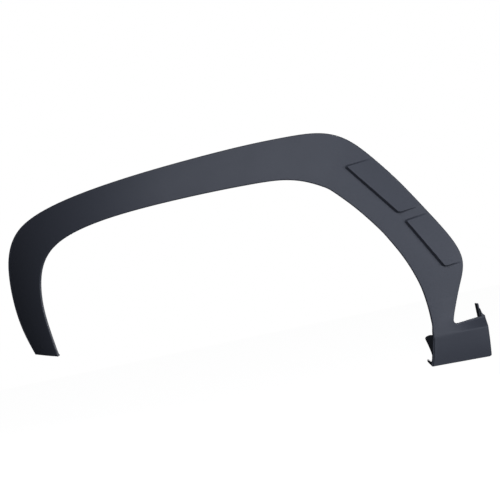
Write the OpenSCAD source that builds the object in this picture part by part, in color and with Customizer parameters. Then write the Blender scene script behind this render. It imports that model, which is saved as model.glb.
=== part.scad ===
/* [Wheel opening] */
// Width of the wheel opening between the two legs, mm
opening_width = 780; // [640:1:920]
// Height of the wheel opening from the foot's underside to its crown, mm
opening_height = 445; // [370:1:520]

/* [Section] */
// Moulded wall, mm
wall = 2.8; // [2.3:0.1:3.3]
// How far the wheel-side edge of the face stands out from the body panel, mm
stand_off = 20; // [16:1:24]
// How much nearer to the body the outer edge of the face is, mm
face_set_back = 14; // [11:1:17]
// Depth of the flange that returns into the wheel well, mm
return_depth = 22; // [18:1:26]
// Outside radius between the face and the return flange, mm
edge_radius = 6; // [5:0.5:7]
// Outside radius of the outer edge, mm
lip_radius = 3.5; // [3:0.1:4]
// How far the front leg follows the bumper corner inboard, mm
corner_wrap = 85; // [68:1:102]

/* [Raised pads] */
// Height of a pad at its lower long edge, mm
pad_rise = 4.5; // [3.5:0.1:5.4]
// Width of the sloping wall along the long edge, mm
pad_wall = 5; // [4:0.5:6]

/* [Sill foot] */
// Length of the foot behind the rear leg, mm
foot_length = 68; // [55:1:80]
// Height of the foot, mm
foot_height = 79.5; // [66:0.5:95]
// Height of the sloping shelf above the crease, mm
shelf_height = 17; // [14:1:20]
// How far the crease stands out from the leg at the foot's rear end, mm
foot_stand = 9; // [7.5:0.5:10.5]
// How far it stands out at the foot's wheel side, mm
foot_start = 3; // [2:0.5:4]
// How far the underside of the foot leans back from the crease, mm
foot_lean = 9; // [7:0.5:11]
// Depth of the flange under the foot, mm
sole_depth = 46; // [38:1:54]
// Depth of the triangular ear behind the wheel-side edge, mm
ear_depth = 72; // [62:1:82]
// Height of the upright tab above the foot's top edge, mm
tab_rise = 29; // [24:1:34]
// How far the end wall and its tab reach inboard of the body panel, mm
end_depth = 22; // [18:1:26]

/* [Fixings] */
// Diameter of the two locating pins, mm
pin_diameter = 6; // [5:0.1:7]
// Length of a locating pin beyond the body panel, mm
pin_reach = 10; // [8:1:12]
// Diameter of the screw holes in the return flange, mm
screw_hole = 6.5; // [5.5:0.1:7.5]
// Spacing of the two screw holes at the crown, mm
screw_pitch = 150; // [120:1:180]
// Spacing of the two screw holes in the front leg, mm
front_pitch = 50; // [40:1:60]
// Spacing of the two screw holes in the rear leg, mm
rear_pitch = 40; // [32:1:46]
// Spacing of the two screw holes in the foot's underside, mm
sole_pitch = 60; // [48:1:72]
// Distance of the screw holes behind the front of the return flange, mm
screw_inset = 13; // [12:0.5:14]
// Distance of the underside's screw holes behind that front, mm
sole_inset = 25; // [20:1:30]
// Height of the clip towers, mm
tower_height = 11; // [9:0.5:13]
// Width of the neck of the slot in a clip tower, mm
clip_slot = 7; // [6:0.5:8]

/* [Hidden] */
$fn = 32;
kx = opening_width/780;
kz = opening_height/445;

// Wheel-side edge of the face, from the toe of the front leg over the crown to
// the foot, as the poles of a cubic spline in mm from the main locating pin.
inner_poles = [[-396,-308],[-405,-255],[-410,-204],[-404,-154],[-388,-109],
  [-355,-76],[-298,-56],[-220,-44],[-121,-39],[-12,-37],[85,-38],[150,-41],
  [198,-56],[235,-78],[242,-83],[288,-131],[329,-189],[335,-200],[364,-252],
  [383,-309],[388,-337],[391,-370],[391,-396]];
// Outer edge of the face, with one pole beside each pole of the inner edge.
outer_poles = [[-449,-297],[-469,-243],[-477,-186],[-476,-131],[-467,-77],
  [-436,-28],[-374,-1],[-276,17],[-146,30],[-23,38],[87,43],[170,42],
  [246,39],[298,14],[337,-33],[382,-93],[424,-161],[426,-167],[462,-220],
  [488,-287],[461,-333],[450,-366],[436,-400.5]];
// Ends of the two pads' long lower edges.
pad_ends = [[283,-46],[367,-159],[379.5,-180],[438,-288]];

function scaled(p) = [p[0]*kx, p[1]*kz];
function clamp(v) = min(1, max(0, v));
function ease(v) = let(t = clamp(v)) t*t*(3 - 2*t);
function mix(a, b, t) = a + (b - a)*t;
function unit(v) = v/norm(v);
function spline(c, u) = let(n = len(c), i = min(floor(u), n - 2), t = u - i,
  a = i == 0 ? 2*c[0] - c[1] : c[i-1], d = i == n - 2 ? 2*c[n-1] - c[n-2] : c[i+2])
  (pow(1-t,3)*a + (3*t*t*t - 6*t*t + 4)*c[i] + (3*(t + t*t - t*t*t) + 1)*c[i+1] + t*t*t*d)/6;

function inner_at(u) = scaled(spline(inner_poles, u));
function outer_at(u) = scaled(spline(outer_poles, u));
function half_at(u) = mix(inner_at(u), outer_at(u), 0.5);
// Line between the two edges that carries the pads' long edges.
function middle_at(u) =
  u < 14 ? half_at(u) + (scaled(pad_ends[0]) - half_at(14))*ease(u - 13) :
  u < 16 ? mix(scaled(pad_ends[0]), scaled(pad_ends[1]), (u - 14)/2) :
  u < 17 ? mix(scaled(pad_ends[1]), scaled(pad_ends[2]), u - 16) :
  u < 19 ? mix(scaled(pad_ends[2]), scaled(pad_ends[3]), (u - 17)/2) :
  half_at(u) + (scaled(pad_ends[3]) - half_at(19))*(1 - ease(u - 19));
function share_at(u) = mix(0.5, mix(0.56, 0.62, clamp((u - 14)/5)), ease((u - 12)/2)*(1 - ease((u - 19)/1.5)));

// Foot dimensions, from the inside corner where the foot meets the rear leg.
arc_r = 5;
leg_end = outer_at(22);
leg_dir = unit(outer_at(22) - outer_at(21.8));
foot_top = leg_end[1] - arc_r*(1 - leg_dir[0]);
foot_x = leg_end[0] - leg_dir[1]*arc_r;
foot_right = foot_x - 8.5 + foot_length;
foot_fall = 3;
foot_left = inner_at(22)[0] - 19;
foot_low = foot_top - foot_height + 1.5;
crease = foot_top - shelf_height;
lean_end = 7.5*foot_height/80;
corner_r = 3.2;
sole_rise = 2.6;

// Distance inboard by which the front leg follows the bumper corner.
function wrap(x) = corner_wrap*pow(max(0, -80 - x/kx)/360, 2.2);
function soft_low(a, b, k) = (a + b - sqrt((a - b)*(a - b) + k*k))/2;
// Depth of the face without pads: a crowned slope, and at the foot a shelf
// that drops to a crease and a face that leans back under it.
function face_y(p, share) = let(
  d = p[1] - crease,
  plain = -stand_off + face_set_back*pow(share, 1.5)
    + (p[1] < foot_top + 20 ? 12*ease((p[0] - foot_x)/40) : 0) + 10*ease(-d/16),
  steep = 0.45 + 0.75*ease((p[0] - foot_x + 55)/100),
  stand = mix(foot_start, foot_stand, ease((p[0] - foot_left)/(foot_right - foot_left))),
  foot = -stand_off - stand + (d > 0 ? steep*d : -d*foot_lean/(foot_height - shelf_height)))
  wrap(p[0]) + (d > 70 ? plain : soft_low(plain, foot, 2.5));

// Pads rise over the stretches 14 to 16 and 17 to 19 and meet the face again
// at the outer edge.
pad_slope = 0.05;
function pad_on(u) = max(min(clamp((u - 14)/pad_slope), clamp((16 - u)/pad_slope)),
  min(clamp((u - 17)/pad_slope), clamp((19 - u)/pad_slope)));

// Rings over the arch: parameter along both edges.
arch_u = [0, 0.25, 0.5, 0.75, 1, 1.25, 1.5, 1.75, 2, 2.25, 2.5, 2.75, 3, 3.25, 3.5, 3.75,
  4, 4.2, 4.4, 4.6, 4.8, 5, 5.2, 5.4, 5.6, 5.8, 6, 6.25, 6.5, 6.75, 7, 7.33, 7.67, 8, 8.33, 8.67,
  9, 9.33, 9.67, 10, 10.25, 10.5, 10.75, 11, 11.2, 11.4, 11.6, 11.8, 12, 12.2, 12.4, 12.6, 12.8,
  13, 13.33, 13.67, 14, 14.05, 14.4, 14.7, 15, 15.3, 15.6, 15.95, 16, 17, 17.05, 17.4, 17.7, 18,
  18.25, 18.5, 18.75, 18.95, 19, 19.25, 19.5, 19.75, 20, 20.33, 20.67, 21];

// Wheel-side edge below the arch, by height, down to the foot's lower corner
// and along its underside. Row: point, flange depth, rise of the flange.
function side_x(z) = let(a = inner_at(22), t = clamp((a[1] - z)/(a[1] - foot_low - corner_r)))
  mix(a[0], foot_left, t*(1.35 - 0.35*t)*ease(0.25 + t/0.34));
function side(z, h) = [side_x(z), z, h, 0];
side_rows = concat(
  [for (k = [1:3]) let(q = inner_at(21 + k/3)) [q[0], q[1], return_depth, 0]],
  [side(mix(inner_at(22)[1], crease, 0.45), return_depth - 7), side(crease + 3.8, 10),
   side(crease + 1.8, ear_depth - 44), side(crease, ear_depth - 31), side(crease - 2.5, ear_depth - 18),
   side(crease - 5, ear_depth - 8), side(crease - 7.4, ear_depth - 2), side(crease - 9.6, ear_depth),
   side(crease - 12, ear_depth - 4.5), side(crease - 18, ear_depth - 21.5),
   side(crease - 24, ear_depth - 38.5), side(crease - 32, 13), side(crease - 34.5, 10),
   side(foot_low + 9.4, 10)],
  [for (a = [0:2]) [foot_left + corner_r*(1 - cos(30*a)), foot_low + corner_r*(1 - sin(30*a)), sole_depth, [9, 5.5, 3.5][a]]],
  [[foot_left + corner_r, foot_low, sole_depth, sole_rise], [foot_left + corner_r + 1, foot_low, sole_depth, sole_rise]],
  [for (k = [1:8]) [mix(foot_left + corner_r + 1, foot_right - lean_end, k/8), foot_low - 3*k/8, sole_depth, sole_rise]]);
// Outer edge beside those rows: down the leg, round the inside corner and
// along the foot's top edge.
function corner_at(t) = let(a0 = atan2(leg_end[1] - (foot_top + arc_r), leg_end[0] - foot_x), a = mix(a0 < 0 ? a0 + 360 : a0, 270, t))
  [foot_x + arc_r*cos(a), foot_top + arc_r + arc_r*sin(a)];
function top_at(t) = [mix(foot_x, foot_right, t), foot_top + foot_fall*t];
outer_rows = concat([for (k = [1:3]) outer_at(21 + k/3)],
  [for (k = [1:12]) corner_at(k/12)],
  [for (k = [1:7]) top_at(k*0.02)],
  [for (k = [1:8]) top_at(mix(0.14, 1, k/8))]);

// Every ring as [inner point, middle point, outer point, share, flange depth,
// flange rise, pad].
function crease_share(i, q, o) = let(t = q[1] >= crease ? 0 : clamp((crease - q[1])/(o[1] - q[1])))
  i < 6 ? mix(0.5, 0.16, ease((i + 1)/6)) : max(0.16, t);
rings = concat(
  [for (u = arch_u) [inner_at(u), middle_at(u), outer_at(u), share_at(u), return_depth, 0, pad_on(u)]],
  [for (i = [0:len(side_rows)-1]) let(r = side_rows[i], q = [r[0], r[1]], o = outer_rows[i], c = crease_share(i, q, o))
    [q, mix(q, o, c), o, c, r[2], r[3], 0]]);
n = len(rings);

function section(r) = let(q = r[0], m = r[1], o = r[2], s = r[3],
  e1 = unit(m - q), e2 = unit(o - m), b = min(edge_radius, 0.8*norm(m - q)), g = lip_radius,
  a = q + e1*b, w = m + e2*pad_wall, z = o - e2*g,
  fa = s*b/norm(m - q), fw = mix(s, 1, pad_wall/norm(o - m)), fz = mix(s, 1, 1 - g/norm(o - m)),
  ya = face_y(a, fa), yz = face_y(z, fz),
  inner_part = [for (k = [0:3]) let(p = mix(a, m, k/4)) [p[0], face_y(p, mix(fa, s, k/4)), p[1]]],
  outer_part = [for (k = [0:3]) let(p = mix(w, z, k/3)) [p[0], face_y(p, mix(fw, fz, k/3)) - r[6]*pad_rise*(1 - k/3), p[1]]])
  concat([[q[0], ya + r[4], q[1] + r[5]], [q[0], ya + b, q[1]],
    [q[0] + e1[0]*b*0.134, ya + b*0.5, q[1] + e1[1]*b*0.134],
    [q[0] + e1[0]*b*0.5, ya + b*0.134, q[1] + e1[1]*b*0.5]],
    inner_part, [[m[0], face_y(m, s), m[1]]], outer_part,
    [[o[0] - e2[0]*g*0.5, yz + g*0.134, o[1] - e2[1]*g*0.5],
     [o[0] - e2[0]*g*0.134, yz + g*0.5, o[1] - e2[1]*g*0.134],
     [o[0], yz + g, o[1]], [o[0], yz + max(g + 1, stand_off - face_set_back), o[1]]]);
front = [for (r = rings) section(r)];
cols = len(front[0]);

// Back surface: the front moved inward by the wall along its own normal.
function normal(i, j) = let(a = front[min(i+1, n-1)][j] - front[max(i-1, 0)][j],
  b = front[i][min(j+1, cols-1)] - front[i][max(j-1, 0)]) unit(cross(b, a));
back = [for (i = [0:n-1]) [for (j = [0:cols-1]) front[i][j] + wall*normal(i, j)]];

module shell() {
  points = [for (i = [0:n-1]) for (p = concat(front[i], [for (j = [cols-1:-1:0]) back[i][j]])) p];
  m = 2*cols;
  faces = concat(
    [for (i = [0:n-2]) for (j = [0:m-1]) [i*m + j, (i+1)*m + (j+1)%m, (i+1)*m + j]],
    [for (i = [0:n-2]) for (j = [0:m-1]) [i*m + j, i*m + (j+1)%m, (i+1)*m + (j+1)%m]],
    [for (j = [0:cols-2]) for (t = [[j, m-2-j, j+1], [j, m-1-j, m-2-j]]) t],
    [for (j = [0:cols-2]) for (t = [[j, j+1, m-2-j], [j, m-2-j, m-1-j]]) [for (v = t) (n-1)*m + v]]);
  polyhedron(points, faces, convexity = 10);
}

// Seat of a fixing on the face: plan point, directions across and along the
// band, depth of the face and its slope in both directions.
function seat(u, s) = let(q = inner_at(u), o = outer_at(u), e = unit(o - q), f = [-e[1], e[0]],
  p = mix(q, o, s), y = face_y(p, s), v = mix(inner_at(u + 0.1), outer_at(u + 0.1), s),
  ge = (face_y(mix(q, o, s + 0.1), s + 0.1) - face_y(mix(q, o, s - 0.1), s - 0.1))/(0.2*norm(o - q)))
  [p, e, f, y, ge, (face_y(v, s) - y - ge*((v - p)*e))/((v - p)*f)];
// Block that stands on the back of the face and follows its slope.
module block(t, f0, f1, e0, e1, low, high) {
  c = [[f0, e0], [f1, e0], [f1, e1], [f0, e1]];
  polyhedron([for (h = [low, high]) for (k = c) [t[0][0] + t[2][0]*k[0] + t[1][0]*k[1],
    t[3] + t[5]*k[0] + t[4]*k[1] + h, t[0][1] + t[2][1]*k[0] + t[1][1]*k[1]]],
    [[0,1,2,3], [4,5,1,0], [7,6,5,4], [5,6,2,1], [6,7,3,2], [7,4,0,3]]);
}
// Fin across the band at ring i, from column j0 to column j1, its top falling
// from one depth to a height above the back of the face.
module fin(i, j0, j1, top0, top1, t0, t1) {
  e = unit([front[i][j1][0] - front[i][j0][0], front[i][j1][2] - front[i][j0][2]]);
  f = [-e[1], e[0]];
  c = [for (j = [j0:j1]) (front[i][j] + back[i][j])/2];
  k = j1 - j0;
  function far(j) = norm([c[j][0] - c[0][0], c[j][2] - c[0][2]])/norm([c[k][0] - c[0][0], c[k][2] - c[0][2]]);
  function high(j) = max(c[j][1] + wall*0.5 + 0.4, mix(top0, c[k][1] + wall*0.5 + top1, far(j)));
  polyhedron([for (j = [0:k]) for (v = [[t0, 0], [t1, 0], [t1, 1], [t0, 1]])
    [c[j][0] + f[0]*v[0], v[1] == 0 ? c[j][1] : high(j), c[j][2] + f[1]*v[0]]],
    concat([[3,2,1,0]], [[4*k, 4*k+1, 4*k+2, 4*k+3]],
      [for (j = [0:k-1]) for (a = [0:3]) [4*j + a, 4*j + (a+1)%4, 4*(j+1) + (a+1)%4, 4*(j+1) + a]]));
}
function ring_of(u) = [for (i = [0:len(arch_u)-1]) if (arch_u[i] == u) i][0];

// Clip towers by place along and across the band.
towers = [[1.5, 0.5], [4.3, 0.5], [6.4, 0.5], [8.6, 0.5], [11.1, 0.52], [12.7, 0.5], [20.1, 0.5]];
module tower(w) {
  t = seat(w[0], w[1]);
  block(t, -13, 13, -9, 9, wall*0.5, wall + tower_height);
}
module tower_cut(w) {
  t = seat(w[0], w[1]);
  d = t[5] > 0 ? -1 : 1;
  block(t, min(-11*d, 15*d), max(-11*d, 15*d), -7, 7, wall, wall + tower_height - 2);
  translate([t[0][0], t[3] + wall + tower_height - 9, t[0][1]])
    rotate([0, -atan2(t[2][1]*d, t[2][0]*d), 0]) {
      translate([0, 0, -clip_slot/2]) cube([17, 15, clip_slot]);
      rotate([-90, 0, 0]) cylinder(d = clip_slot + 2, h = 15);
    }
}
// Round boss whose base follows the slope of the face.
module boss(t, r, top) {
  k = 24;
  c = [for (a = [0:k-1]) [r*cos(a*360/k), r*sin(a*360/k)]];
  polyhedron(concat([for (v = c) [t[0][0] + v[0]*t[2][0] + v[1]*t[1][0], t[3] + wall*0.5 + t[5]*v[0] + t[4]*v[1], t[0][1] + v[0]*t[2][1] + v[1]*t[1][1]]],
    [for (v = c) [t[0][0] + v[0]*t[2][0] + v[1]*t[1][0], top, t[0][1] + v[0]*t[2][1] + v[1]*t[1][1]]]),
    concat([[for (a = [0:k-1]) a]], [[for (a = [k-1:-1:0]) k + a]],
      [for (a = [0:k-1]) [a, k + a, k + (a+1)%k, (a+1)%k]]));
}
// Locating pin on a stepped boss with crossed ribs.
module pin(p, t) {
  shoulder = -6;
  block(t, -10, 10, -1, 1, wall*0.5, shoulder - 3 - t[3]);
  block(t, -1, 1, -10, 10, wall*0.5, shoulder - 3 - t[3]);
  boss(t, pin_diameter/2 + 2.5, shoulder);
  translate([p[0], shoulder - 1, p[1]]) rotate([-90, 0, 0]) cylinder(d = pin_diameter, h = pin_reach - 2 + 1 - shoulder);
  translate([p[0], pin_reach - 2, p[1]]) rotate([-90, 0, 0])
    cylinder(d1 = pin_diameter, d2 = pin_diameter*0.6, h = 2);
}
main_seat = let(t = seat(9.2, 0.49)) [[0, 0], t[1], t[2], t[3], t[4], t[5]];
second_seat = seat(21.3, 0.5);

// Wall that closes the rear end of the foot, and the tab that stands above it.
end_lean = atan2(lean_end, foot_height);
function foot_y(x, z) = face_y([x, z], clamp((z - foot_low)/foot_height)) + wall*0.6;
function sole_z(x) = foot_low - 3*clamp((x - foot_left)/(foot_right - foot_left));
// Lower edge of a wall inside the foot, within the sole, from the back to the front.
function base_line(x, y) = let(a = foot_y(x, foot_low + 5), b = sole_z(x))
  [[y, b + wall/2 + sole_rise*(y - a)/sole_depth], [a + 4.6, b + wall/2 + 0.3], [a + 1.3, b + 2.9]];
module foot_rib(x) {
  z = [for (k = [0:6]) mix(foot_low + 5, crease + 3, k/6)];
  translate([x, 0, 0]) rotate([90, 0, 90]) linear_extrude(2, center = true)
    polygon(concat([for (v = z) [foot_y(x, v), v]], [for (k = [6:-1:0]) [foot_y(x, z[k]) + 8.4 - 1.1*k, z[k]]],
      base_line(x, foot_y(x, z[0]) + 8.4)));
}
module end_wall() {
  x = foot_right - 6;
  z = concat([for (k = [0:4]) mix(foot_low + 5, crease, k/4)], [for (k = [1:4]) mix(crease, foot_top - 1, k/4)]);
  translate([foot_right - 5.5, 0, foot_top]) rotate([0, end_lean, 0]) rotate([90, 0, 90])
    translate([0, -foot_top]) linear_extrude(wall, center = true)
      polygon(concat([for (v = z) [foot_y(x, v), v]], [[end_depth, foot_top - 1]], base_line(x, end_depth)));
  r = 4;
  translate([foot_right - 7, 0, 0]) rotate([90, 0, 90]) linear_extrude(wall, center = true)
    polygon(concat([[1, foot_top - 8], [end_depth, foot_top - 8]],
      [for (a = [0:30:90]) [end_depth - r + r*cos(a), foot_top + tab_rise - r + r*sin(a)]],
      [for (a = [90:30:180]) [1 + r + r*cos(a), foot_top + tab_rise - r + r*sin(a)]]));
}

// Screw hole through the flange at a plan point, along Z or turned along X.
module screw(at, depth, turn) {
  translate([at[0], depth, at[1]]) rotate([0, turn, 0]) cylinder(d = screw_hole, h = 6*wall, center = true);
}

module arch_trim() {
  color([0.15, 0.15, 0.17]) difference() {
    union() {
      shell();
      for (w = towers) tower(w);
      pin([0, 0], main_seat);
      pin(second_seat[0], second_seat);
      for (u = [1, 2.25, 3.25, 5, 5.8, 7.67, 9.67, 11.8, 13.33]) let(i = ring_of(u))
        fin(i, 1, 7, front[i][1][1] + return_depth - edge_radius - 6, 1.5, -1, 1);
      fin(0, 1, 13, front[0][1][1] + return_depth - edge_radius - 2, 9, -wall, 0);
      for (x = [-39, 1]) foot_rib((foot_left + foot_right)/2 + x);
      end_wall();
    }
    for (w = towers) tower_cut(w);
    for (k = [-0.5, 0.5]) {
      screw([k*screw_pitch, inner_at(9)[1]], screw_inset - stand_off, 0);
      screw([inner_at(2)[0], inner_at(2)[1] + k*front_pitch], wrap(inner_at(2)[0]) + screw_inset - stand_off, 90);
      screw([inner_at(21)[0], inner_at(21)[1] + k*rear_pitch], screw_inset - stand_off, 90);
      screw([(foot_left + foot_right)/2 + k*sole_pitch, foot_low], sole_inset - stand_off, 0);
    }
  }
}

arch_trim();
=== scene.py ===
import math
import bpy
import numpy as np
from mathutils import Matrix


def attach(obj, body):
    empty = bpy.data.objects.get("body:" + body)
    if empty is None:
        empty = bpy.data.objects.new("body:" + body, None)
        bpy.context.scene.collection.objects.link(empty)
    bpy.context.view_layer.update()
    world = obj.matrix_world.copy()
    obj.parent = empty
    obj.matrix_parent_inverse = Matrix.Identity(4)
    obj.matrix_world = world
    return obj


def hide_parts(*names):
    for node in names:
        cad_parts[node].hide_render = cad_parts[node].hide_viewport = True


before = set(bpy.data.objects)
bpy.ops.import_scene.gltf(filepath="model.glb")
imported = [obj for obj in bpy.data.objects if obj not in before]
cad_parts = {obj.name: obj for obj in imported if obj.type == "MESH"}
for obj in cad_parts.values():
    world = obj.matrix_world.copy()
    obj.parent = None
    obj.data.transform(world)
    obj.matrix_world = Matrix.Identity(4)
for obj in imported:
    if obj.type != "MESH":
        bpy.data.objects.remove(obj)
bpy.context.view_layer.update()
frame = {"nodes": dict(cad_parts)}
print("frame loaded:", ", ".join(frame["nodes"]))

# Sizes, mm.
section = {
    "wall": 2.8,          # moulded thickness
    "standOff": 20.0,     # wheel-side edge of the face in front of the body panel
    "faceSetBack": 14.0,  # how much nearer to the body the outer edge is
    "returnDepth": 22.0,  # flange that returns into the wheel well
    "draft": 3.0,         # how far the flange leans back under the face
    "edgeRadius": 2.6,    # round between face and flange
    "lipRadius": 3.5,     # round of the outer edge
    "cornerWrap": 85.0,   # how far the front leg follows the bumper corner inboard,
    "wrapStart": -80.0,   # forward of this x
    "wrapLength": 360.0,  # over this length
    "legSetBack": 0.8,    # share of the set-back that is left at the rear leg's end
    "toeRise": 4.0,       # how far the toe's flange is cut back at its end
}
pads = {
    "rise": 7.8,          # height of a pad at its long edge
    "wall": 4.8,          # width of the sloping wall along the long edge
    "endWall": 3.0,       # width of the sloping wall along the short edges
    "slopes": [5.2, 6.3, 6.7, 2.8],   # degrees, rise of the four short edges towards the outer edge
    "cornerRadius": 9.0,  # plan radius of the pad's two corners
}
foot = {
    "length": 69.2,       # of the top edge, up to the rear corner
    "underLeg": 7.0,      # the part of the length that lies under the leg
    "height": 79.5,       # top edge to sole
    "forward": 20.4,      # how far the lower front corner reaches ahead of the leg
    "sideBow": 1.6,       # how far the wheel-side edge bows back half-way down
    "shelf": 17.0,        # height of the sloped shelf above the crease
    "steep": 0.40,        # slope of the shelf at its front, depth over height,
    "steepGain": 1.0,     # and what is added towards its rear
    "meet": 5.0,          # rounding where the leg's face meets the shelf
    "lean": 9.0,          # how far the face leans back from the crease to the sole
    "belly": 0.0022,      # how it also curves back, 1/mm,
    "bellyStart": 18.0,   # from this far below the crease on
    "standFront": 3.0,    # how far the foot stands out past the leg, wheel side
    "standRear": 9.0,     # and at its rear end
    "creaseRadius": 1.1, "softCrease": 7.0,   # rounding of the crease, rear and under the leg
    "cornerArc": 5.0,     # plan radius of the inside corner between leg and foot
    "topRise": 3.0,       # rise of the top edge towards the rear
    "endLean": 6.4,       # lean of the rear edge over 80 mm of height
    "lowRadius": 2.4,     # plan radius of the lower front corner
    "soleDepth": 42.0, "soleFall": 3.0, "soleRise": 2.6,
    "hookRise": 9.0,      # turned-up hook at the front corner of the sole
    "hookCut": 7.0,       # how much shallower the sole is at the hook
    "earDepth": 72.0,     # ear that reaches inboard from the wheel side
    "earFlare": 1.8,      # how far its inboard edge leans forward
    "ledge": 2.2,         # width of the narrow ledge along the wheel side
    "ledgeDrop": 1.5,     # how far it is set back
    "ribs": (-39, 1),     # places of the two ribs from the middle of the foot
    "ribHeight": 8.4, "ribTaper": 0.55,       # height at the sole and its loss per station
    "endInset": 6.7, "endDepth": 22.0,        # slanted wall inside the rear end
    "tabInset": 8.2, "tabRise": 29.0,         # upright tab
}
# Web between tab and rear corner, mm from the rear end of the top edge.
webOutline = np.array([(-7.4, -5), (-7.4, 19), (-6.6, 16.5), (-6.1, 13), (-5.2, 9.5),
                       (-3.6, 6.5), (-0.8, 3.4), (-1, -5)])
webDepth = (-5.5, 4.0)
# Distance between sections, mm: plain arch, rear leg, raised pads, pads' short edges.
rowStep = {"plain": 6.0, "leg": 3.0, "pads": 1.4, "padEnd": 0.7}

# Poles of the two edges of the face, as cubic splines in mm from the main
# locating pin: front toe, over the crown, rear leg, foot.
innerPoles = np.array([
    (-394, -308), (-402, -255), (-407.5, -204), (-403.2, -154), (-388, -109), (-355, -76),
    (-298, -56), (-220, -43.8), (-121, -38), (-12, -36), (85, -37.6), (150, -40.8),
    (198, -55.4), (235, -77.4), (242, -82.4), (288, -131), (329, -189), (335, -200),
    (364, -252), (383, -309), (388, -337), (391, -370), (391, -396)], float)
outerPoles = np.array([
    (-449, -297), (-469, -243), (-477, -186), (-476.5, -131), (-468, -76.5), (-437, -27),
    (-374.5, 0), (-276, 18), (-146, 30.5), (-23, 38.5), (87, 43), (170, 42),
    (246, 39), (298.5, 14.5), (338.5, -32), (383.5, -92), (424.5, -160), (428.1, -166),
    (467.2, -230.3), (487.3, -285), (463.3, -333), (449, -366), (434.5, -400.5)], float)
# Ends of the two pads' long lower edges.
padEnds = np.array([(276.7, -43.6), (366, -162.7), (374.8, -177.9), (435.6, -289.8)], float)


# Small maths.
def ease(v):
    # Smooth step: 3t^2 - 2t^3 of v held between 0 and 1.
    t = np.clip(v, 0, 1)
    return t * t * (3 - 2 * t)


def mix(a, b, t):
    return a + (b - a) * t


def unit(v):
    return v / np.maximum(np.linalg.norm(v, axis=-1, keepdims=True), 1e-12)


def spline(poles, u):
    # Uniform cubic B-spline through a phantom pole 2P0 - P1 at each end.
    full = np.vstack([2 * poles[0] - poles[1], poles, 2 * poles[-1] - poles[-2]])
    i = np.clip(np.floor(u).astype(int), 0, len(poles) - 2)
    t = (u - i)[:, None]
    return ((1 - t) ** 3 * full[i] + (3 * t ** 3 - 6 * t ** 2 + 4) * full[i + 1]
            + (3 * (t + t ** 2 - t ** 3) + 1) * full[i + 2] + t ** 3 * full[i + 3]) / 6


def innerAt(u):
    return spline(innerPoles, np.atleast_1d(np.asarray(u, float)))


def outerAt(u):
    return spline(outerPoles, np.atleast_1d(np.asarray(u, float)))


def middleAt(u):
    # Half-way line between the edges, bent to carry the long edges of the pads.
    u = np.atleast_1d(np.asarray(u, float))
    half = 0.5 * (innerAt(u) + outerAt(u))
    half14 = 0.5 * (innerAt(14.0) + outerAt(14.0))[0]
    half19 = 0.5 * (innerAt(19.0) + outerAt(19.0))[0]
    t = u[:, None]
    before = half + (padEnds[0] - half14) * ease(t - 13)
    after = half + (padEnds[3] - half19) * (1 - ease(t - 19))
    first = mix(padEnds[0], padEnds[1], (t - 14) / 2)
    gap = mix(padEnds[1], padEnds[2], t - 16)
    second = mix(padEnds[2], padEnds[3], (t - 17) / 2)
    return np.where(t < 14, before, np.where(t < 16, first, np.where(
        t < 17, gap, np.where(t < 19, second, after))))


def shareAt(u):
    u = np.asarray(u, float)
    return mix(0.5, mix(0.56, 0.62, np.clip((u - 14) / 5, 0, 1)),
               ease((u - 12) / 2) * (1 - ease((u - 19) / 1.5)))


# Places on the foot that follow from the end of the rear leg.
legEnd = outerAt(22.0)[0]
legDir = unit(outerAt(22.0) - outerAt(21.8))[0]
footTop = legEnd[1] - foot["cornerArc"] * (1 - legDir[0])
footX = legEnd[0] - legDir[1] * foot["cornerArc"]
footRight = footX - foot["underLeg"] + foot["length"]
footLeft = innerAt(22.0)[0][0] - foot["forward"]
footLow = footTop - foot["height"] + foot["soleFall"] / 2
crease = footTop - foot["shelf"]
leanEnd = foot["endLean"] * foot["height"] / 80


def wrap(x):
    # Inboard sweep of the front leg: a power 2.2 of the distance past its start.
    return section["cornerWrap"] * (np.maximum(0, section["wrapStart"] - x) / section["wrapLength"]) ** 2.2


def belowCrease(z):
    # 0 above the crease of the foot, 1 from 7 mm below it on.
    return ease((crease + 2 - z) / 9)


def softLow(a, b, k):
    # The lower of two values, rounded over k where they cross.
    return (a + b - np.sqrt((a - b) ** 2 + k * k)) / 2


def faceY(x, z, share, edge=0.0):
    # Depth of the face without pads. On the arch it is a crowned slope, share to
    # the power 1.5, from the wheel side to the outer edge. At the foot it is a
    # shelf that drops to the crease and a face that leans back below it and
    # curves back by belly times a squared distance. The two join by a soft minimum,
    # and the arch's face is sunk behind the leg and below the crease.
    d = z - crease
    setBack = section["faceSetBack"] * mix(1, section["legSetBack"], ease((80 - d) / 80))
    sunk = np.where(z < footTop + 20, 12 * ease((x - footX) / 40), 0) + 10 * ease(-d / 16)
    plain = -section["standOff"] + setBack * np.maximum(share, 0) ** 1.5 + sunk
    steep = foot["steep"] + foot["steepGain"] * ease((x - footX + 25) / 80)
    lean = foot["lean"] / (foot["height"] - foot["shelf"])
    stand = mix(foot["standFront"], foot["standRear"], ease((x - footLeft) / (footRight - footLeft)))
    # |d| is rounded to sqrt(d^2 + r^2) so that the crease has a true radius
    rounded = np.sqrt(d * d + edge * edge) - edge
    low = -section["standOff"] - stand + (steep + lean) / 2 * rounded + (steep - lean) / 2 * d
    low = low + foot["belly"] * np.minimum(0, d + foot["bellyStart"]) ** 2
    return wrap(x) + np.where(d > 70, plain, softLow(plain, low, foot["meet"]))


def ledgeY(x, z):
    # Extra depth along the foot's wheel side: a narrow ledge, a wall that climbs
    # to a low bead, and the bead's flank that eases back to the face.
    wall, beadHeight, beadFlank = 1.6, 0.35, 4.5
    s = x - sideX(z)
    climb = ease((s - foot["ledge"]) / wall)
    bead = beadHeight * climb * (1 - ease((s - foot["ledge"] - wall) / beadFlank))
    return (foot["ledgeDrop"] * (1 - climb) - bead) * belowCrease(z)


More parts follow.
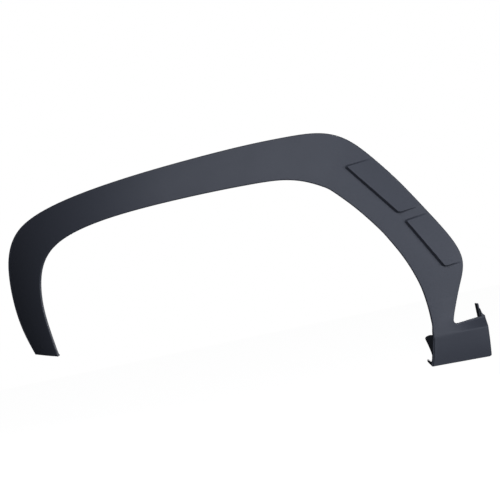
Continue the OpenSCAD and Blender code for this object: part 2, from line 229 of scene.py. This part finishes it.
# Rows: where sections stand.
def archStations(keep):
    # Stations along the arch, spaced by rowStep along the longer edge; those in
    # keep are always among them.
    fine = np.linspace(0, 21, 4201)
    length = np.zeros(len(fine))
    for edge in (innerAt(fine), outerAt(fine)):
        along = np.concatenate([[0], np.cumsum(np.linalg.norm(np.diff(edge, axis=0), axis=1))])
        length = np.maximum(length, along)
    step = np.where((fine > 13.7) & (fine < 19.4), rowStep["pads"],
                    np.where(fine > 19.4, rowStep["leg"], rowStep["plain"]))
    nearEnd = np.min(np.abs(fine[:, None] - np.array([14, 16, 17, 19])), axis=1) < 0.17
    step = np.where(nearEnd, rowStep["padEnd"], step)
    count = np.concatenate([[0], np.cumsum(np.diff(length) / step[1:])])
    even = np.interp(np.linspace(0, count[-1], int(count[-1]) + 1), count, fine)
    far = np.min(np.abs(even[:, None] - np.array(keep)), axis=1) > 0.02
    return np.sort(np.concatenate([even[far], keep]))


def sideX(z):
    # Wheel-side edge of the foot: it sweeps forward by t + 0.35 t (1 - t) of the
    # drop t, eased in where it leaves the leg, and bows back between its ends.
    top = innerAt(22.0)[0]
    t = np.clip((top[1] - z) / (top[1] - footLow - foot["lowRadius"]), 0, 1)
    sweep = mix(top[0], footLeft, t * (1.35 - 0.35 * t) * ease(0.25 + t / 0.34))
    return sweep + foot["sideBow"] * ease(t / 0.6) * ease((z - footLow - 4) / 12)


def footRows():
    # The thirty stations k of the foot, each cut into a few even steps: the rest
    # of the leg up to 3, the wheel-side edge with the ear up to 18, the lower
    # corner up to 21, and the sole. The last step of the sole lifts its corner.
    k = np.concatenate([np.linspace(0, 22, 89)[1:], np.linspace(22, 23, 13)[1:],
                        np.linspace(23, 30, 29)[1:]])
    ear, sole, r = foot["earDepth"], foot["soleDepth"], foot["lowRadius"]
    legLow = innerAt(22.0)[0][1]
    stationZ = [legLow, mix(legLow, crease, 0.45), crease + 3.8, crease + 1.8, crease, crease - 2.5,
                crease - 5, crease - 7.4, crease - 9.6, crease - 12, crease - 18, crease - 25,
                crease - 35, crease - 37.5, footLow + 9.4, footLow + r]
    z = np.interp(k, np.arange(3, 19), stationZ)
    depth = np.interp(k, np.arange(3, 20), [
        section["returnDepth"], 15, 8, ear - 44, ear - 31, ear - 18, ear - 8, ear - 2, ear, ear - 4.5,
        ear - 21.5, ear - 38.5, 11, 6, 6, sole - foot["hookCut"], sole])
    rise = np.interp(k, [17, 18, 19, 20, 21], [0, foot["hookRise"], 5.5, 3.5, foot["soleRise"]])
    turn = np.radians(30 * np.clip(k - 18, 0, 3))
    along = np.clip(k - 22, 0, 8) / 8
    startX = footLeft + r + 1
    inner = np.stack([sideX(z), z], 1)
    inner = np.where(k[:, None] < 3, innerAt(21 + np.minimum(k, 3) / 3), inner)
    arc = np.stack([footLeft + r * (1 - np.cos(turn)), footLow + r * (1 - np.sin(turn))], 1)
    inner = np.where(k[:, None] > 18, arc, inner)
    endX = footRight - leanEnd
    flat = np.stack([np.where(k < 22, mix(footLeft + r, startX, k - 21), mix(startX, endX, along)),
                     footLow - foot["soleFall"] * along + 1.8 * np.clip(4 * k - 119, 0, 1)], 1)
    inner = np.where(k[:, None] > 21, flat, inner)

    a0 = math.degrees(math.atan2(legEnd[1] - (footTop + foot["cornerArc"]), legEnd[0] - footX)) % 360
    a = np.radians(mix(a0, 270, np.clip((k - 3) / 12, 0, 1)))
    corner = np.stack([footX + foot["cornerArc"] * np.cos(a),
                       footTop + foot["cornerArc"] * (1 + np.sin(a))], 1)
    t = np.where(k < 22, (k - 15) * 0.02, mix(0.14, 1, (k - 22) / 8))
    top = np.stack([mix(footX, footRight, t), footTop + foot["topRise"] * t], 1)
    outer = np.where(k[:, None] < 3, outerAt(21 + np.minimum(k, 3) / 3),
                     np.where(k[:, None] < 15, corner, top))
    cross = np.where(inner[:, 1] >= crease, 0,
                     np.clip((crease - inner[:, 1]) / (outer[:, 1] - inner[:, 1]), 0, 1))
    share = np.maximum(mix(0.5, 0.16, ease(k / 6)), cross)
    middle = mix(inner, outer, share[:, None])
    middle[:, 0] -= 2.6 * ease((k - 26) / 4)                 # so that the rear end looks straight
    return inner, middle, outer, share, depth, rise


# Height of pads.
def padHeight(x, z, fade, soften=0.0):
    # Height of the two raised pads. The distances behind the long edge and
    # behind each short edge are measured in wall widths, rounded together at the
    # corners, and eased from 0 to 1; towards the outer edge the height fades.
    p = np.stack([x, z], -1)
    total = np.zeros(x.shape)
    for first, last in ((0, 1), (2, 3)):
        a, b = padEnds[first], padEnds[last]
        along = (b - a) / np.linalg.norm(b - a)
        out = np.array([-along[1], along[0]])
        behindLong = ((p - a) @ out + soften) / pads["wall"]
        height = behindLong
        for corner, slope, way in ((a, pads["slopes"][first], 1), (b, pads["slopes"][last], -1)):
            angle = math.radians(slope)
            side = np.array([math.sin(angle), -math.cos(angle)]) * way
            behindShort = ((p - corner) @ side + soften) / pads["endWall"]
            r = pads["cornerRadius"] / pads["wall"]
            both = (height < r) & (behindShort < r)
            rounded = r - np.hypot(r - height, r - behindShort)
            height = np.where(both, rounded, np.minimum(height, behindShort))
        total = np.maximum(total, mix(np.clip(height, 0, 1), ease(height), 0.6))
    return pads["rise"] * total * fade


# The moulding itself.
def sections(inner, middle, outer, share, depth, rise):
    # Points of every section as one grid, front and back. Along a row: flange,
    # round, face to the middle line, face beyond it, outer round, short lip. The
    # back is a plainer front moved inwards by the wall along its own normal.
    g, wall = section["lipRadius"], section["wall"]
    n = len(inner)
    onFoot = belowCrease(inner[:, 1])
    lean = section["draft"] * (1 - ease((crease + 20 - inner[:, 1]) / 20))
    onEar = np.clip((depth - 20) / 50, 0, 1) * ease((inner[:, 1] - footLow - 9.4) / 8)
    flare = foot["earFlare"] * onEar
    e1, e2 = unit(middle - inner), unit(outer - middle)
    inner = inner - e1 * lean[:, None]
    span1 = np.linalg.norm(middle - inner, axis=1)
    span2 = np.linalg.norm(outer - middle, axis=1)
    # Columns, mm: from the round on, towards the middle line, and past the line
    # over the pads' walls. Spans shorter than 16 and 13 mm squeeze them.
    nearEdge = np.array([0, 0.5, 1.0, 1.4, 1.8, 2.2, 2.6, 3.1, 3.8, 4.8, 6.0, 7.5])
    nearMiddle = np.array([3.6, 2.4, 1.6, 1.0, 0.5])
    wallSteps = np.array([0.5, 1, 1.5, 2, 2.5, 3, 3.5, 4, 4.5, 5, 5.6, 6.4, 7.5, 9])
    between = np.linspace(1, 0, 11)[None, 1:-1]
    turn = np.radians(np.linspace(0, 90, 10))[:-1]
    lipTurn = np.radians(np.linspace(0, 90, 8))[1:]
    faceStart = 6 + len(turn)                               # columns before the face

    def grid(radius, detail):
        # One skin with the given edge radius; detail adds crease, ledge and pads.
        b = np.minimum(radius, 0.8 * span1)
        room1, room2 = span1 - b, span2 - g
        spread = np.minimum(1, room1 / 16)[:, None]
        spread2 = np.minimum(1, room2 / 13)[:, None]
        used = (nearEdge[-1] + nearMiddle[0]) * spread
        d1 = np.concatenate([room1[:, None] - nearEdge * spread,
                             nearMiddle[0] * spread + between * (room1[:, None] - used),
                             nearMiddle * spread, np.zeros((n, 1))], 1)
        rest = room2[:, None] - wallSteps[-1] * spread2
        d2 = np.concatenate([wallSteps * spread2, wallSteps[-1] * spread2
                             + np.linspace(0, 1, 13)[None, 1:] * rest], 1)
        faceP = np.concatenate([middle[:, None] - e1[:, None] * d1[..., None],
                                middle[:, None] + e2[:, None] * d2[..., None]], 1)
        faceShare = np.concatenate([share[:, None] * (1 - d1 / span1[:, None]),
                                    mix(share[:, None], 1, d2 / span2[:, None])], 1)
        out = np.clip((d2 - pads["wall"]) / (room2[:, None] - pads["wall"]), 0, 1)
        fade = np.concatenate([np.ones_like(d1), 1 - out], 1)
        x, z = faceP[..., 0], faceP[..., 1]
        edge = mix(foot["softCrease"], foot["creaseRadius"], ease((x - footX + 60) / 75)) if detail else 0.0
        depthAt = lambda x, z, s, e=0.0: faceY(x, z, s, e) + (ledgeY(x, z) if detail else 0)
        height = padHeight(x, z, fade) if detail else 0.0
        plainY = depthAt(x, z, faceShare, edge)

        roundP = inner[:, None] + e1[:, None] * (b[:, None] * (1 - np.cos(turn)))[..., None]
        roundShare = share[:, None] * b[:, None] * (1 - np.cos(turn)) / span1[:, None]
        roundY = depthAt(roundP[..., 0], roundP[..., 1], roundShare) + b[:, None] * (1 - np.sin(turn))
        startY = faceY(*(inner + e1 * b[:, None]).T, share * b / span1)
        t = np.linspace(0, 1, 7)[:-1]
        flangeY = mix((startY + depth)[:, None], roundY[:, :1], t)
        flangeP = inner[:, None] + e1[:, None] * (lean[:, None] * (1 - t))[..., None]
        flangeP[..., 1] += rise[:, None] * (1 - t)
        flangeP[..., 0] -= flare[:, None] * (1 - t)
        lipP = outer[:, None] - e2[:, None] * (g * (1 - np.sin(lipTurn)))[None, :, None]
        lipY = plainY[:, -1:] + g * (1 - np.cos(lipTurn))
        endY = plainY[:, -1:] + max(g + 1, section["standOff"] - section["faceSetBack"])
        plan = np.concatenate([flangeP, roundP, faceP, lipP, outer[:, None]], 1)
        deep = np.concatenate([flangeY, roundY, plainY - height, lipY, endY], 1)
        return np.stack([plan[..., 0], deep, plan[..., 1]], -1), fade

    # the round under the face shrinks to 1 mm on the foot
    front, fade = grid(mix(section["edgeRadius"], 1.0, onFoot), True)
    base, _ = grid(np.full(n, 1.25 * wall), False)
    keep = [0, 2, 4, 6, 8, 10, 12, 14, 15, 22, 26, 28, 30, 32, 34, 41]   # flange to the middle
    keep += [45, 49, 53, 55, 57, 59, 61, 63, 65, 67, 68, 70, 72, 74, 75]  # to the lip
    keep = np.array(keep)
    base = base[:, keep]
    normal = unit(np.cross(np.gradient(base, axis=1), np.gradient(base, axis=0)))
    back = base + wall * normal
    backFade = np.zeros(base.shape[:2])
    inFace = (keep >= faceStart) & (keep < faceStart + fade.shape[1])
    backFade[:, inFace] = fade[:, keep[inFace] - faceStart]
    back[..., 1] -= padHeight(back[..., 0], back[..., 2], backFade, -0.6)
    return front, back, keep


def meshFrom(name, points, faces, inside=()):
    # Mesh from points in mm and a list of faces; faces whose number is in
    # inside take the second material.
    mesh = bpy.data.meshes.new(name)
    mesh.from_pydata((np.asarray(points, float) * 0.001).tolist(), [], faces)
    if len(inside):
        number = np.zeros(len(faces), np.int32)
        number[np.asarray(inside)] = 1
        mesh.polygons.foreach_set("material_index", number)
    mesh.validate()
    mesh.update()
    return mesh


def newObject(name, mesh):
    piece = bpy.data.objects.new(name, mesh)
    bpy.context.scene.collection.objects.link(piece)
    return piece


def shellMesh(front, back, keep):
    # Closed skin of the sections: rings of front points and then back points,
    # quads from ring to ring, and small faces that close the two ends.
    n, nf = front.shape[:2]
    nb = back.shape[1]
    m = nf + nb
    points = np.concatenate([front, back[:, ::-1]], 1).reshape(-1, 3)
    i, j = np.meshgrid(np.arange(n - 1), np.arange(m), indexing="ij")
    a, b = i * m + j, i * m + (j + 1) % m
    quads = np.stack([a, a + m, b + m, b], -1).reshape(-1, 4)
    isBack = ((j >= nf) & (j < m - 1)).ravel()
    caps = []
    for k in range(nb - 1):
        strip = list(range(keep[k], keep[k + 1] + 1)) + [m - 2 - k, m - 1 - k]
        caps.append(strip)
        caps.append([(n - 1) * m + v for v in reversed(strip)])
    faces = quads.tolist() + caps
    return meshFrom("shell", points, faces, np.nonzero(isBack)[0])


def prism(rings):
    # Closed solid through rings of equally many points, each ring a plan curve.
    n, m = len(rings), len(rings[0])
    i, j = np.meshgrid(np.arange(n - 1), np.arange(m), indexing="ij")
    a, b = i * m + j, i * m + (j + 1) % m
    quads = np.stack([a, b, b + m, a + m], -1).reshape(-1, 4).tolist()
    quads += [list(range(m))[::-1], [(n - 1) * m + k for k in range(m)]]
    return np.concatenate(rings), quads


def joined(name, solids):
    # One mesh of several closed solids in the second material, each turned so
    # that its faces point out.
    points, faces, start = [], [], 0
    for p, f in solids:
        p = np.asarray(p, float)
        volume = sum(np.dot(p[q[0]], np.cross(p[q[k]], p[q[k + 1]]))
                     for q in f for k in range(1, len(q) - 1))
        if volume < 0:
            f = [q[::-1] for q in f]
        points.append(p)
        faces += [[v + start for v in q] for q in f]
        start += len(p)
    return newObject(name, meshFrom(name, np.concatenate(points), faces, np.arange(len(faces))))


def seatAt(u, share, point=None):
    # Seat of a fixing: plan point, directions across and along the band, depth
    # of the face there and its slope in both directions.
    q, o = innerAt(u)[0], outerAt(u)[0]
    across = unit(o - q)
    along = np.array([-across[1], across[0]])
    p = mix(q, o, share)
    depth = lambda s: float(faceY(*mix(q, o, s), s))
    y = depth(share)
    slopeAcross = (depth(share + 0.1) - depth(share - 0.1)) / (0.2 * np.linalg.norm(o - q))
    v = mix(innerAt(u + 0.1)[0], outerAt(u + 0.1)[0], share)
    slopeAlong = (float(faceY(v[0], v[1], share)) - y - slopeAcross * (v - p) @ across) / ((v - p) @ along)
    return {"p": p if point is None else np.array(point, float), "across": across, "along": along,
            "y": y, "slopeAcross": slopeAcross, "slopeAlong": slopeAlong}


def onSeat(seat, plan, height):
    # Points of a plan curve (along, across) at a height above the face, following its slope.
    plan = np.asarray(plan, float)
    xz = seat["p"] + plan[:, :1] * seat["along"] + plan[:, 1:] * seat["across"]
    y = seat["y"] + plan[:, 0] * seat["slopeAlong"] + plan[:, 1] * seat["slopeAcross"] + height
    return np.stack([xz[:, 0], y, xz[:, 1]], 1)


def roundedRect(f0, f1, e0, e1, r, steps=4):
    t = np.linspace(0, np.pi / 2, steps + 1)
    corners = [((f1 - r, e1 - r), 0), ((f0 + r, e1 - r), 1), ((f0 + r, e0 + r), 2), ((f1 - r, e0 + r), 3)]
    return np.concatenate([np.stack([c[0] + r * np.cos(t + k * np.pi / 2),
                                     c[1] + r * np.sin(t + k * np.pi / 2)], 1) for c, k in corners])


def circle(r, count=32):
    a = np.arange(count) * 2 * np.pi / count
    return np.stack([r * np.cos(a), r * np.sin(a)], 1)


def alongX(profile, x0, x1, lean=0.0):
    # Plate with a (y, z) profile between two x; lean moves x with the height.
    p = np.asarray(profile, float)
    side = lambda x: np.stack([x + lean * (p[:, 1] - footTop), p[:, 0], p[:, 1]], 1)
    return prism([side(x0), side(x1)])


fixings = {
    # clip towers: station and share of the way across the band
    "towers": [(1.5, 0.5), (4.3, 0.5), (6.4, 0.5), (8.6, 0.5), (11.1, 0.52), (12.7, 0.5), (20.1, 0.5)],
    "towerHeight": 11.0, "towerHalfLength": 13.0, "towerHalfWidth": 9.0, "towerWall": 2.0,
    "clipSlot": 7.0, "clipSeat": 9.0,         # keyhole slot in a tower's top
    # locating pins: shoulder of the boss and reach of the pin, as depths
    "pinRadius": 3.0, "pinReach": 10.0, "bossRadius": 5.5, "shoulder": -6.0,
    "crossHalf": (10, 1), "crossDrop": 3.0,   # crossed ribs, and how far they end below the shoulder
    "fins": [1, 2.25, 3.25, 5, 5.8, 7.67, 9.67, 11.8, 13.33], "finThickness": 2.0,
    "finDrop": 6.0, "finEnd": 1.5,            # below the flange's edge, and left above the face
    "toeDrop": 2.0, "toeEnd": 9.0,            # the same for the wall that closes the toe
    "screwHole": 6.5, "crownPitch": 150.0, "frontPitch": 50.0, "rearPitch": 40.0,
    "solePitch": 60.0, "screwInset": 13.0, "soleInset": 25.0,
}


def towerSolids():
    # Clip towers: a hollow block, open at one end, whose top has a keyhole slot.
    wall, solids, cuts = section["wall"], [], []
    top = wall + fixings["towerHeight"]
    for u, s in fixings["towers"]:
        seat = seatAt(u, s)
        way = -1 if seat["slopeAlong"] > 0 else 1
        hl, hw, t = fixings["towerHalfLength"], fixings["towerHalfWidth"], fixings["towerWall"]
        full = roundedRect(-hl, hl, -hw, hw, 1.6)
        solids.append(prism([onSeat(seat, full * [1.02, 1.03], wall * 0.5), onSeat(seat, full, top - 0.5),
                             onSeat(seat, full * [1 - 0.4 / hl, 1 - 0.4 / hw], top)]))
        ends = sorted([-(hl - t) * way, (hl + t) * way])
        cavity = roundedRect(ends[0], ends[1], -(hw - t), hw - t, 0.8)
        cuts.append(prism([onSeat(seat, cavity, wall + 0.4), onSeat(seat, cavity, top - t)]))
        neck = np.array([(0, -1), (1, -1), (1, 1), (0, 1)]) * [(hl + 4) * way, fixings["clipSlot"] / 2]
        cuts.append(prism([onSeat(seat, neck, top - t - 1), onSeat(seat, neck, top + 6)]))
        ring = circle(fixings["clipSeat"] / 2)
        cuts.append(prism([onSeat(seat, ring, top - t - 1), onSeat(seat, ring, top + 6)]))
    return solids, cuts


def pinSolids(seat):
    # Locating pin: crossed ribs, a round boss and the pin with its tapered tip.
    solids, wall, shoulder = [], section["wall"], fixings["shoulder"]
    for half in (fixings["crossHalf"], fixings["crossHalf"][::-1]):
        plan = roundedRect(-half[0], half[0], -half[1], half[1], 0.5, 2)
        top = shoulder - fixings["crossDrop"] - seat["y"]
        solids.append(prism([onSeat(seat, plan, wall * 0.5), onSeat(seat, plan, top - 0.3),
                             onSeat(seat, plan * (1 - 0.3 / np.array(half)), top)]))
    level = lambda r, y: np.column_stack([seat["p"][0] + circle(r)[:, 0], np.full(32, y),
                                          seat["p"][1] + circle(r)[:, 1]])
    r, reach, boss = fixings["pinRadius"], fixings["pinReach"], fixings["bossRadius"]
    around = np.stack([circle(boss + 0.3) @ seat["along"], circle(boss + 0.3) @ seat["across"]], 1)
    base = onSeat(seat, around, wall * 0.5)
    solids.append(prism([base, level(boss, shoulder - 0.6), level(boss - 0.6, shoulder),
                         level(r + 0.5, shoulder), level(r, shoulder + 0.5), level(r, reach - 2),
                         level(r * 0.62, reach - 0.3), level(r * 0.5, reach)]))
    return solids


def finSolid(front, back, keep, i, j0, j1, top0, top1, t0, t1):
    # Fin across the band at row i, from column j0 to j1 and from t0 to t1 along
    # the band; its top falls from top0 at the flange to top1 above the face.
    middle = 0.5 * (front[i, keep] + back[i])[j0:j1 + 1]
    plan = middle[:, [0, 2]]
    across = unit(plan[-1] - plan[0])
    along = np.array([-across[1], across[0]])
    far = np.linalg.norm(plan - plan[0], axis=1) / np.linalg.norm(plan[-1] - plan[0])
    lift = section["wall"] * 0.5
    high = np.maximum(middle[:, 1] + lift + 0.4, mix(top0, middle[-1, 1] + lift + top1, far))
    corner = lambda t, y: np.stack([plan[:, 0] + along[0] * t, y, plan[:, 1] + along[1] * t], 1)
    return prism(list(np.stack([corner(t0, middle[:, 1]), corner(t1, middle[:, 1]),
                                corner(t1, high), corner(t0, high)], 1)))


def footY(x, z):
    # Depth within the wall of the foot's face.
    return faceY(x, z, np.clip((z - footLow) / foot["height"], 0, 1)) + section["wall"] * 0.6


def baseLine(x, y):
    # Lower edge of a wall inside the foot, which ends within the sole.
    a = float(footY(x, footLow + 5))
    b = footLow - foot["soleFall"] * np.clip((x - footLeft) / (footRight - footLeft), 0, 1)
    return [(y, b + section["wall"] / 2 + foot["soleRise"] * (y - a) / foot["soleDepth"]),
            (a + 4.6, b + section["wall"] / 2 + 0.3), (a + 1.3, b + 2.9)]


def footSolids():
    # Two ribs inside the foot, the slanted wall that closes its rear end, the
    # upright tab above it and the web beside the tab.
    solids, half = [], section["wall"] / 2
    for place in foot["ribs"]:
        x = (footLeft + footRight) / 2 + place
        z = np.linspace(footLow + 5, crease + 3, 13)
        y = footY(x, z)
        top = y + foot["ribHeight"] - foot["ribTaper"] * np.arange(len(z))
        profile = list(zip(y, z)) + list(zip(top[::-1], z[::-1]))
        solids.append(alongX(profile + baseLine(x, top[0]), x - 1, x + 1))
    x = footRight - 6
    z = np.concatenate([np.linspace(footLow + 5, crease, 9), np.linspace(crease, footTop - 1, 7)[1:]])
    profile = list(zip(footY(x, z), z)) + [(foot["endDepth"], footTop - 1)] + baseLine(x, foot["endDepth"])
    x = footRight - foot["endInset"]
    solids.append(alongX(profile, x - half, x + half, leanEnd / foot["height"]))
    r, deep, top = 4.0, foot["endDepth"], footTop + foot["tabRise"]
    a = np.radians(np.linspace(0, 90, 7))
    profile = [(1, footTop - 8), (deep, footTop - 8)]
    profile += list(zip(deep - r + r * np.cos(a), top - r + r * np.sin(a)))
    profile += list(zip(1 + r - r * np.sin(a), top - r + r * np.cos(a)))
    x = footRight - foot["tabInset"]
    solids.append(alongX(profile, x - half, x + half))
    solids.append(prism([np.stack([footRight + webOutline[:, 0], np.full(len(webOutline), y),
                                   footTop + webOutline[:, 1]], 1) for y in webDepth]))
    return solids


def screwHoles():
    # Two holes each in the flange at the crown, at both legs, and in the sole.
    cuts, ring = [], circle(fixings["screwHole"] / 2)
    reach, inset = 3 * section["wall"], fixings["screwInset"] - section["standOff"]
    upright = lambda x, y, z: prism([np.column_stack([x + ring[:, 0], y + ring[:, 1], np.full(32, z + h)])
                                     for h in (-reach, reach)])
    level = lambda x, y, z: prism([np.column_stack([np.full(32, x + h), y + ring[:, 0], z + ring[:, 1]])
                                   for h in (-reach, reach)])
    crown, leg, rear = innerAt(9.0)[0], innerAt(2.0)[0], innerAt(21.0)[0]
    for k in (-0.5, 0.5):
        cuts.append(upright(k * fixings["crownPitch"], inset, crown[1]))
        cuts.append(level(leg[0], float(wrap(leg[0])) + inset, leg[1] + k * fixings["frontPitch"]))
        cuts.append(level(rear[0], inset, rear[1] + k * fixings["rearPitch"]))
        cuts.append(upright((footLeft + footRight) / 2 + k * fixings["solePitch"],
                            fixings["soleInset"] - section["standOff"], footLow))
    return cuts


def combine(piece, tool, operation):
    # Boolean with the manifold solver, applied at once; the tool is removed.
    cut = piece.modifiers.new(operation.lower(), "BOOLEAN")
    cut.operation, cut.solver, cut.object = operation, "MANIFOLD", tool
    evaluated = piece.evaluated_get(bpy.context.evaluated_depsgraph_get())
    mesh = bpy.data.meshes.new_from_object(evaluated)
    piece.modifiers.clear()
    piece.data = mesh
    bpy.data.objects.remove(tool)


def buildMoulding():
    # The shell, with each fixing joined to it and all hollows and holes cut.
    stations = archStations([1, 1.5, 2.25, 3.25, 5, 5.8, 7.67, 9.67, 11.8, 13.33, 14, 16, 17, 19, 21])
    n = len(stations)
    arch = (innerAt(stations), middleAt(stations), outerAt(stations), shareAt(stations),
            np.full(n, section["returnDepth"]), section["toeRise"] * np.clip(1 - np.arange(n) / 2, 0, 1))
    low = footRows()
    rows = [np.concatenate([a, b]) for a, b in zip(arch, low)]
    front, back, keep = sections(*rows)
    piece = newObject("arch_moulding", shellMesh(front, back, keep))
    print("shell:", len(front), "sections of", front.shape[1] + back.shape[1], "points")

    flangeDepth = section["returnDepth"] - section["edgeRadius"]
    solids, cuts = towerSolids()
    solids += pinSolids(seatAt(9.2, 0.49, (0, 0))) + pinSolids(seatAt(21.3, 0.5))
    start, end = 3, 13                     # columns: bend start, two thirds of the inner face
    half = fixings["finThickness"] / 2
    for u in fixings["fins"]:
        i = int(np.argmin(np.abs(stations - u)))
        top = front[i, 6, 1] + flangeDepth - fixings["finDrop"]
        solids.append(finSolid(front, back, keep, i, start, end, top, fixings["finEnd"], -half, half))
    top = front[0, 6, 1] + flangeDepth - fixings["toeDrop"]
    solids.append(finSolid(front, back, keep, 0, start, len(keep) - 4, top, fixings["toeEnd"],
                           -section["wall"], 0))
    solids += footSolids()
    for solid in solids:
        combine(piece, joined("tool", [solid]), "UNION")
    combine(piece, joined("cutter", cuts + screwHoles()), "DIFFERENCE")
    return piece


moulding = buildMoulding()
print("moulding:", len(moulding.data.vertices), "vertices", len(moulding.data.polygons), "faces")
moulding.data.shade_smooth()
moulding.data.set_sharp_from_angle(angle=math.radians(33))


# Materials.
def linear(code):
    # sRGB hex to linear values.
    c = [int(code[k:k + 2], 16) / 255 for k in (1, 3, 5)]
    return [v / 12.92 if v <= 0.04045 else ((v + 0.055) / 1.055) ** 2.4 for v in c] + [1.0]


def addNode(tree, kind, settings=None, links=None):
    # Adds a node; settings go to its properties or input sockets, links to inputs.
    node = tree.nodes.new(kind)
    for key, value in (settings or {}).items():
        if isinstance(key, str) and hasattr(node, key):
            setattr(node, key, value)
        else:
            node.inputs[key].default_value = value
    for key, source in (links or {}).items():
        tree.links.new(source, node.inputs[key])
    return node


grained = {
    "colour": "#41444d", "roughness": 0.6, "ior": 1.49,
    "grainSize": 1.1,     # mm between pits; drawn coarser than the real 0.3 mm so that it shows
    "grainDepth": 0.05,   # mm
    "bump": 0.35,         # strength of the grain
    "mottle": 60.0,       # mm, slow variation of the gloss left by flow in the mould,
    "glossSpread": 0.03,  # by this much roughness
    "darker": 0.93,       # and down to this share of the colour
}
plain = dict(grained, roughness=0.42, grainSize=2.4, bump=0.08)


def polypropylene(name, values):
    # Black polypropylene with a little blue, injection moulded. The outside has
    # a fine leather-like grain that scatters the light into a soft sheen; the back
    # comes off the polished core side and is plainer and glossier.
    material = bpy.data.materials.new(name)
    material.use_nodes = True
    tree = material.node_tree
    tree.nodes.clear()
    place = addNode(tree, "ShaderNodeTexCoord").outputs["Object"]
    slow = addNode(tree, "ShaderNodeTexNoise", {"Scale": 1000 / values["mottle"], "Detail": 3.0},
                   {"Vector": place})
    fine = addNode(tree, "ShaderNodeTexVoronoi", {"Scale": 1000 / values["grainSize"]}, {"Vector": place})
    gloss = addNode(tree, "ShaderNodeMapRange", {"To Min": values["roughness"] - values["glossSpread"],
                                                 "To Max": values["roughness"] + values["glossSpread"]},
                    {"Value": slow.outputs["Fac"]})
    colour = linear(values["colour"])
    darker = [v * values["darker"] for v in colour[:3]] + [1.0]
    tone = addNode(tree, "ShaderNodeMixRGB", {1: colour, 2: darker}, {0: slow.outputs["Fac"]})
    bump = addNode(tree, "ShaderNodeBump", {"Strength": values["bump"],
                                            "Distance": values["grainDepth"] / 1000},
                   {"Height": fine.outputs["Distance"]})
    shader = addNode(tree, "ShaderNodeBsdfPrincipled", {"IOR": values["ior"]},
                     {"Base Color": tone.outputs[0], "Roughness": gloss.outputs["Result"],
                      "Normal": bump.outputs["Normal"]})
    addNode(tree, "ShaderNodeOutputMaterial", None, {"Surface": shader.outputs["BSDF"]})
    return material


moulding.data.materials.clear()
moulding.data.materials.append(polypropylene("grainedPolypropylene", grained))
moulding.data.materials.append(polypropylene("plainPolypropylene", plain))
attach(moulding, "root")
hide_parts("arch_trim")
print("materials done")


# Camera and lights, metres.
def poseMatrix(x, y, z, place):
    pose = np.eye(4)
    pose[:3] = np.column_stack([x, y, z, place])
    return Matrix(pose.tolist())


roll = math.radians(12)
cameraPlace = (0.054, -1.770, -0.172)
camera = bpy.data.objects.new("camera", bpy.data.cameras.new("camera"))
bpy.context.scene.collection.objects.link(camera)
camera.data.sensor_width = 36.0
camera.data.lens = 61.46
camera.data.clip_end = 50.0
camera.matrix_world = poseMatrix([math.cos(roll), 0, -math.sin(roll)],
                                 [math.sin(roll), 0, math.cos(roll)], [0, -1, 0], cameraPlace)
bpy.context.scene.camera = camera

lit = np.array([0.012, 0.0, -0.22])        # middle of the trim, which the lamps face

lights = {
    # name: (direction from the object, distance m, size m, watts, colour)
    "front": ((0.17, -0.97, 0.17), 1.6, 0.8, 7.4, "#f2f6ff"),
    "high": ((0.13, -0.75, 0.64), 1.6, 0.8, 8.6, "#f2f6ff"),
    "low": ((0.83, -0.55, -0.10), 1.6, 0.8, 9.0, "#f2f6ff"),
    "rear": ((0.50, 0.82, 0.28), 2.0, 0.8, 26.0, "#ffffff"),
}


def softbox(name, direction, distance, size, watts, colour):
    # Square area lamp that faces the trim, unseen by the camera.
    lamp = bpy.data.lights.new(name, "AREA")
    lamp.shape, lamp.size, lamp.size_y, lamp.energy = "RECTANGLE", size, size, watts
    lamp.color = linear(colour)[:3]
    holder = bpy.data.objects.new(name, lamp)
    bpy.context.scene.collection.objects.link(holder)
    z = unit(np.array(direction, float))
    x = unit(np.cross([0, 0, 1], z))
    holder.matrix_world = poseMatrix(x, np.cross(z, x), z, lit + z * distance)
    holder.visible_camera = False


for name, values in lights.items():
    softbox(name, *values)

# World: full white to the camera, almost dark to all other rays.
world = bpy.data.worlds.new("studio")
bpy.context.scene.world = world
world.use_nodes = True
world.node_tree.nodes.clear()
path = addNode(world.node_tree, "ShaderNodeLightPath")
dim = addNode(world.node_tree, "ShaderNodeBackground", {"Color": (1, 1, 1, 1), "Strength": 0.015})
bright = addNode(world.node_tree, "ShaderNodeBackground", {"Color": (1, 1, 1, 1), "Strength": 1.0})
both = addNode(world.node_tree, "ShaderNodeMixShader", None,
               {0: path.outputs["Is Camera Ray"], 1: dim.outputs[0], 2: bright.outputs[0]})
addNode(world.node_tree, "ShaderNodeOutputWorld", None, {"Surface": both.outputs[0]})

# Floor: pale to the camera, dull to all other rays.
floorHalf, floorLevel = 6.0, -0.95
corners = [(i * floorHalf * 1000, j * floorHalf * 1000, floorLevel * 1000)
           for i, j in ((-1, -1), (1, -1), (1, 1), (-1, 1))]
floor = newObject("floor", meshFrom("floor", corners, [(0, 1, 2, 3)]))
pale = bpy.data.materials.new("paleFloor")
pale.use_nodes = True
tree = pale.node_tree
tree.nodes.clear()
seen = addNode(tree, "ShaderNodeLightPath").outputs["Is Camera Ray"]
card = addNode(tree, "ShaderNodeBsdfDiffuse", {"Color": (0.8, 0.8, 0.8, 1)})
glow = addNode(tree, "ShaderNodeEmission", {"Color": (1, 1, 1, 1), "Strength": 0.97})
dull = addNode(tree, "ShaderNodeBsdfDiffuse", {"Color": (0.1, 0.1, 0.1, 1)})
white = addNode(tree, "ShaderNodeAddShader", None, {0: card.outputs[0], 1: glow.outputs[0]})
total = addNode(tree, "ShaderNodeMixShader", None, {0: seen, 1: dull.outputs[0], 2: white.outputs[0]})
addNode(tree, "ShaderNodeOutputMaterial", None, {"Surface": total.outputs[0]})
floor.data.materials.append(pale)

bpy.context.scene.view_settings.view_transform = "Standard"
print("scene done")
